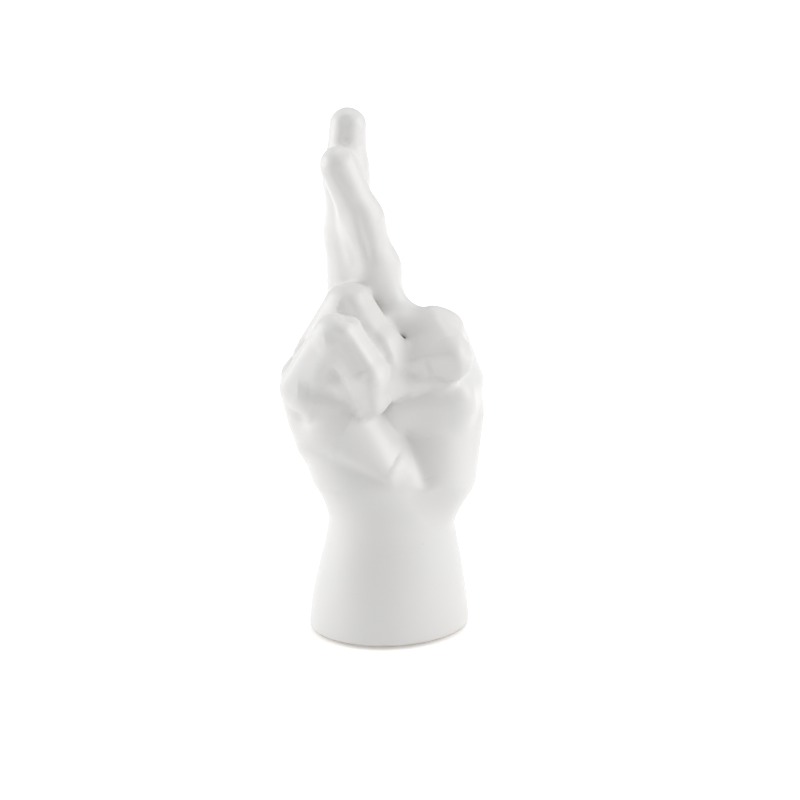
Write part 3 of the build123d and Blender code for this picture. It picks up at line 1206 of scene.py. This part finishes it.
def felt_dot_piece(node, tree, seed):
    """One felt dot: a disc with a softened edge and fibres, as a plain mesh."""
    low, high = (Vector(corner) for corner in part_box(node))
    middle = (low + high) / 2
    radius = (high.x - low.x) / 2 - FELT_INSET * MM
    depth = high.z - low.z - FELT_THINNING * MM
    mesh = bpy.data.meshes.new(f"{node}_felt")
    made = bmesh.new()
    bmesh.ops.create_cone(
        made, cap_ends=True, segments=FELT_SIDES, radius1=radius, radius2=radius, depth=depth
    )
    bmesh.ops.bevel(
        made, geom=made.edges[:], offset=FELT_ROUNDING * MM, segments=2, affect="EDGES", profile=0.6
    )
    bmesh.ops.translate(made, vec=middle, verts=made.verts)
    made.to_mesh(mesh)
    made.free()
    piece = bpy.data.objects.new(f"{node}_felt", mesh)
    bpy.context.collection.objects.link(piece)
    fibres = piece.modifiers.new("Fibres", "NODES")
    fibres.node_group = tree
    for item in tree.interface.items_tree:
        if item.in_out == "INPUT" and item.name == "Seed":
            fibres[item.identifier] = seed
    evaluated = piece.evaluated_get(bpy.context.evaluated_depsgraph_get())
    result = bpy.data.meshes.new_from_object(evaluated)
    piece.modifiers.remove(fibres)
    piece.data = result
    return piece


class HAND_OT_castings(Operator):
    """Shape the hand and make its six castings"""

    bl_idname = "hand.castings"
    bl_label = "Make the castings"

    def execute(self, context):
        form = HandForm(context.scene.casting_sizes)
        skin = Skin(form, LATTICE_SPACING)
        glaze = glaze_material(context.scene.glaze_look)
        for label, name in enumerate(CASTINGS, 1):
            declare(casting_piece(skin, label, name, glaze), name)
        return {"FINISHED"}


class HAND_OT_foot_slab(Operator):
    """Give the foot slab its bare clay"""

    bl_idname = "hand.foot_slab"
    bl_label = "Finish the foot slab"

    def execute(self, context):
        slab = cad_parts["foot_slab"]
        slab.data.materials.clear()
        slab.data.materials.append(clay_material(context.scene.glaze_look))
        return {"FINISHED"}


class HAND_OT_felt_dots(Operator):
    """Make the four felt dots under the foot"""

    bl_idname = "hand.felt_dots"
    bl_label = "Make the felt dots"

    def execute(self, context):
        felt = felt_material(context.scene.glaze_look)
        tree = felt_dot_tree(felt)
        nodes = sorted(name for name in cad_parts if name.startswith("felt_dot"))
        for number, node in enumerate(nodes):
            declare(felt_dot_piece(node, tree, number), node)
        return {"FINISHED"}


# Studio


def floor_material():
    """Pale matt floor with a glow that lights nothing else, so that it looks white but keeps shadows."""
    n = Nodes("pale_floor")
    pale = n.add("ShaderNodeBsdfDiffuse", {"Color": FLOOR_COLOUR}).outputs["BSDF"]
    path = n.add("ShaderNodeLightPath")
    seen = n.maths("MAXIMUM", path.outputs["Is Camera Ray"], path.outputs["Is Glossy Ray"])
    seen = n.maths("MAXIMUM", seen, path.outputs["Is Transmission Ray"])
    away = n.add("ShaderNodeVectorMath", {0: n.object_place}, operation="LENGTH").outputs["Value"]
    strength = n.maths("MULTIPLY", seen, n.ramp(away, FLOOR_NEAR, FLOOR_FAR, FLOOR_GLOW, 1.0))
    glow = n.add("ShaderNodeEmission", {"Strength": strength}).outputs["Emission"]
    return n.finish(n.join("ShaderNodeAddShader", pale, glow))


def lay_floor():
    """Square floor round the hand."""
    corners = [(x * FLOOR_HALF, y * FLOOR_HALF, 0) for x, y in ((-1, -1), (1, -1), (1, 1), (-1, 1))]
    floor = mesh_piece("floor", corners, [(0, 1, 2, 3)], floor_material())


def light_surround(scene, surround):
    """Even white light all round, which the camera sees as pure white."""
    world = scene.world or bpy.data.worlds.new("studio")
    scene.world = world
    world.use_nodes = True
    tree = world.node_tree
    tree.nodes.clear()
    path = tree.nodes.new("ShaderNodeLightPath")
    strength = tree.nodes.new("ShaderNodeMapRange")
    strength.inputs["To Min"].default_value = surround
    strength.inputs["To Max"].default_value = 1.0
    background = tree.nodes.new("ShaderNodeBackground")
    background.inputs["Color"].default_value = WHITE
    output = tree.nodes.new("ShaderNodeOutputWorld")
    tree.links.new(path.outputs["Is Camera Ray"], strength.inputs["Value"])
    tree.links.new(strength.outputs["Result"], background.inputs["Strength"])
    tree.links.new(background.outputs["Background"], output.inputs["Surface"])


def aim(thing, spot, target):
    """Put a lamp or camera at a spot, facing the target."""
    thing.location = spot
    thing.rotation_euler = (Vector(target) - Vector(spot)).to_track_quat("-Z", "Y").to_euler()
    bpy.context.collection.objects.link(thing)


def hang_lamp(name, spot, target, energy):
    """Square soft lamp."""
    data = bpy.data.lights.new(name, "AREA")
    data.shape = "SQUARE"
    data.size = LAMP_SIZE
    data.energy = energy
    aim(bpy.data.objects.new(name, data), spot, target)


def place_camera(scene, light, target):
    """Camera in front of the hand and a little above it."""
    data = bpy.data.cameras.new("camera")
    data.lens = light.lens
    data.sensor_width = SENSOR_WIDTH
    camera = bpy.data.objects.new("camera", data)
    away = Vector((0.0, -math.cos(light.elevation), math.sin(light.elevation)))
    aim(camera, target + away * light.distance, target)
    scene.camera = camera


class HAND_OT_studio(Operator):
    """Lay the floor and set up lamps and camera"""

    bl_idname = "hand.studio"
    bl_label = "Set up the studio"

    def execute(self, context):
        light = context.scene.studio_light
        target = Vector(wrist_axis_place() * MM) + Vector(light.target)
        lay_floor()
        light_surround(context.scene, light.surround)
        for name, spot in LAMP_PLACES.items():
            hang_lamp(name, spot, target, getattr(light, f"{name}_power"))
        place_camera(context.scene, light, target)
        context.scene.view_settings.view_transform = "Standard"
        return {"FINISHED"}


# Panel and registration


class HAND_PT_maker(Panel):
    """Buttons and settings for the ceramic hand"""

    bl_idname = "HAND_PT_maker"
    bl_label = "Ceramic Hand"
    bl_space_type = "VIEW_3D"
    bl_region_type = "UI"
    bl_category = "Ceramic Hand"

    def draw(self, context):
        for operator in OPERATORS:
            self.layout.operator(operator.bl_idname)
        for name in SETTINGS:
            box = self.layout.box()
            box.label(text=name.replace("_", " ").capitalize())
            group = getattr(context.scene, name)
            for key in group.bl_rna.properties.keys():
                if key not in ("rna_type", "name"):
                    box.prop(group, key)


OPERATORS = (HAND_OT_castings, HAND_OT_foot_slab, HAND_OT_felt_dots, HAND_OT_studio)
SETTINGS = {"casting_sizes": CastingSizes, "glaze_look": GlazeLook, "studio_light": StudioLight}


def register():
    for group in (*SETTINGS.values(), *OPERATORS, HAND_PT_maker):
        bpy.utils.register_class(group)
    for name, group in SETTINGS.items():
        setattr(bpy.types.Scene, name, PointerProperty(type=group))


def unregister():
    for name in SETTINGS:
        delattr(bpy.types.Scene, name)
    for group in (HAND_PT_maker, *reversed(OPERATORS), *reversed(SETTINGS.values())):
        bpy.utils.unregister_class(group)


def main():
    register()
    bpy.ops.hand.studio()
    bpy.ops.hand.castings()
    bpy.ops.hand.foot_slab()
    bpy.ops.hand.felt_dots()


if __name__ == "__main__":
    main()
